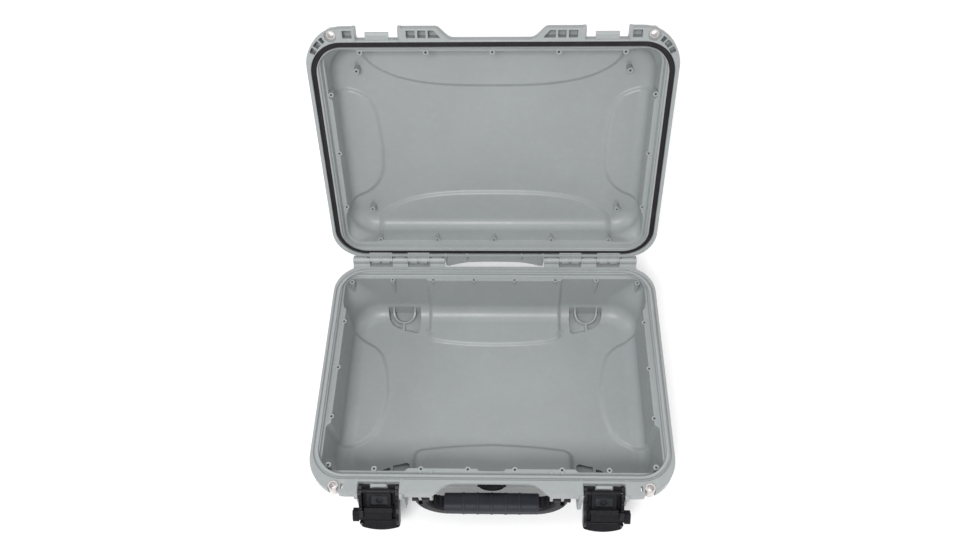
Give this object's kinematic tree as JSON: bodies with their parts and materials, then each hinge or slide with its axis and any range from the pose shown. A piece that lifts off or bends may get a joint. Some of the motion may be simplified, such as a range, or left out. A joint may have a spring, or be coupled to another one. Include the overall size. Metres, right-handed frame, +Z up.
{
  "type": "hard protective carrying case",
  "caption": "Hard plastic carrying case with hinged lid, two draw latches with slide locks, folding handle, gasket and pressure valve, drawn open.",
  "frame": {"origin": "on the underside of the base, at the middle of the cavity", "axes": "+X along the front edge, to the right of a person facing the open case; +Y to the hinge side; +Z up"},
  "size_m": [0.465, 0.5218, 0.4367],
  "materials": {
    "shell": "moulded polypropylene-type plastic, fine satin texture, silver grey",
    "seal": "soft black foam rubber cord",
    "latch": "black glass-filled plastic, fine matte texture",
    "grip": "soft over-moulded elastomer, dark blue grey, ribbed",
    "pin": "stainless pin",
    "sleeve": "stainless sleeve, satin",
    "valve": "black plastic, satin",
    "membrane": "white vent membrane"
  },
  "bodies": {
    "base": {"base_shell": "shell", "base_padlock_sleeves": "sleeve", "hinge_pins": "pin", "latch_pivot_pins": "pin", "handle_pivot_pins": "pin", "valve_body": "valve", "valve_membrane": "membrane", "valve_cap": "valve", "valve_o_ring": "seal", "valve_nut": "valve"},
    "lid": {"lid_shell": "shell", "lid_gasket": "seal", "lid_padlock_sleeves": "sleeve"},
    "handle": {"handle_core": "latch", "handle_grip": "grip"},
    "lever_left": {"lever_left": "latch", "claw_pin_left": "pin"},
    "claw_left": {"claw_left": "latch"},
    "slide_left": {"slide_lock_left": "latch", "slide_detent_left": "pin"},
    "lever_right": {"lever_right": "latch", "claw_pin_right": "pin"},
    "claw_right": {"claw_right": "latch"},
    "slide_right": {"slide_lock_right": "latch", "slide_detent_right": "pin"}
  },
  "joints": [
    {"name": "lid_hinge", "type": "hinge", "parent": "base", "child": "lid", "pos_m": [0, 0.1734, 0.10085], "axis": [1, 0, 0], "range_deg": [0, 108]},
    {"name": "handle_swing", "type": "hinge", "parent": "base", "child": "handle", "pos_m": [0, -0.17, 0.068], "axis": [-1, 0, 0], "range_deg": [0, 95]},
    {"name": "lever_left_pivot", "type": "hinge", "parent": "base", "child": "lever_left", "pos_m": [-0.14075, -0.1765, 0.086], "axis": [-1, 0, 0], "range_deg": [0, 141]},
    {"name": "claw_left_pivot", "type": "hinge", "parent": "lever_left", "child": "claw_left", "pos_m": [-0.14075, -0.17335, 0.08989], "axis": [1, 0, 0], "range_deg": [-75, 0]},
    {"name": "slide_left_travel", "type": "slide", "parent": "lever_left", "child": "slide_left", "axis": [1, 0, 0], "range_m": [0, 0.005]},
    {"name": "lever_right_pivot", "type": "hinge", "parent": "base", "child": "lever_right", "pos_m": [0.14075, -0.1765, 0.086], "axis": [-1, 0, 0], "range_deg": [0, 141]},
    {"name": "claw_right_pivot", "type": "hinge", "parent": "lever_right", "child": "claw_right", "pos_m": [0.14075, -0.17335, 0.08989], "axis": [1, 0, 0], "range_deg": [-75, 0]},
    {"name": "slide_right_travel", "type": "slide", "parent": "lever_right", "child": "slide_right", "axis": [-1, 0, 0], "range_m": [0, 0.005]}
  ]
}
